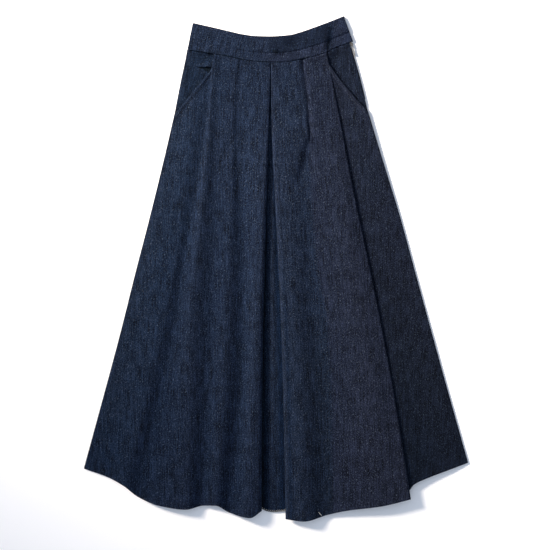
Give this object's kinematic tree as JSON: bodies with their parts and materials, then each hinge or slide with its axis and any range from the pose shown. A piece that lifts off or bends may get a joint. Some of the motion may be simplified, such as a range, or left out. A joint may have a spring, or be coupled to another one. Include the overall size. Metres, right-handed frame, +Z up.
{
  "type": "denim skirt",
  "caption": "Long flared denim skirt laid flat, with a plain waistband, slanted hip pockets, a deep front pleat, soft flutes and a concealed side zip.",
  "frame": {"origin": "middle of the laid skirt's box, on the surface that it lies on", "axes": "+Z up, out of the wearer's front; +Y from the hem towards the waist; +X towards the wearer's left side, where the zip is"},
  "size_m": [0.7871, 1.0343, 0.0186],
  "materials": {
    "denim": "dark indigo denim, washed matt with a fine slub",
    "zip_tape": "fine woven tape, matt",
    "zip_metal": "pale worn metal, satin"
  },
  "bodies": {
    "skirt": {"back_panel": "denim", "pleat_underlay": "denim", "hip_facing_left": "denim", "hip_facing_right": "denim", "front_left": "denim", "front_right": "denim", "waistband_back": "denim", "waistband_front": "denim", "zip_tape": "zip_tape", "zip_slider": "zip_metal"},
    "zip_pull": {"zip_pull_tab": "zip_metal"}
  },
  "joints": [
    {"name": "zip_pull_swing", "type": "hinge", "parent": "skirt", "child": "zip_pull", "pos_m": [0.1565, 0.45982, 0.0028], "axis": [0, 0, 1], "range_deg": [0, 130]}
  ]
}
